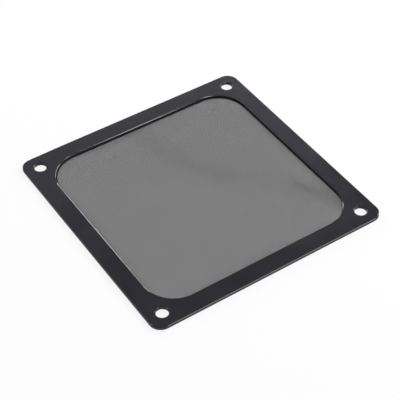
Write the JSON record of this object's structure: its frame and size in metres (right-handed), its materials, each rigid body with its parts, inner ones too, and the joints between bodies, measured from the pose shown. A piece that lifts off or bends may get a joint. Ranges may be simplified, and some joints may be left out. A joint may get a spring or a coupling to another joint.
{
  "type": "fan dust filter",
  "caption": "Flat square fan dust filter: a thin flexible frame with rounded corners and screw holes, its wide rounded window closed by fine woven mesh.",
  "frame": {"origin": "centre of the back face, on the surface that the filter lies on", "axes": "+Z out of the front face, away from the fan; X and Y along the sides of the square"},
  "size_m": [0.12, 0.12, 0.0016],
  "materials": {
    "frame": "black flexible sheet, fine satin grain",
    "mesh": "fine plain-woven dark thread, half open"
  },
  "bodies": {
    "root": {"frame": "frame", "filter_mesh": "mesh"}
  },
  "joints": []
}
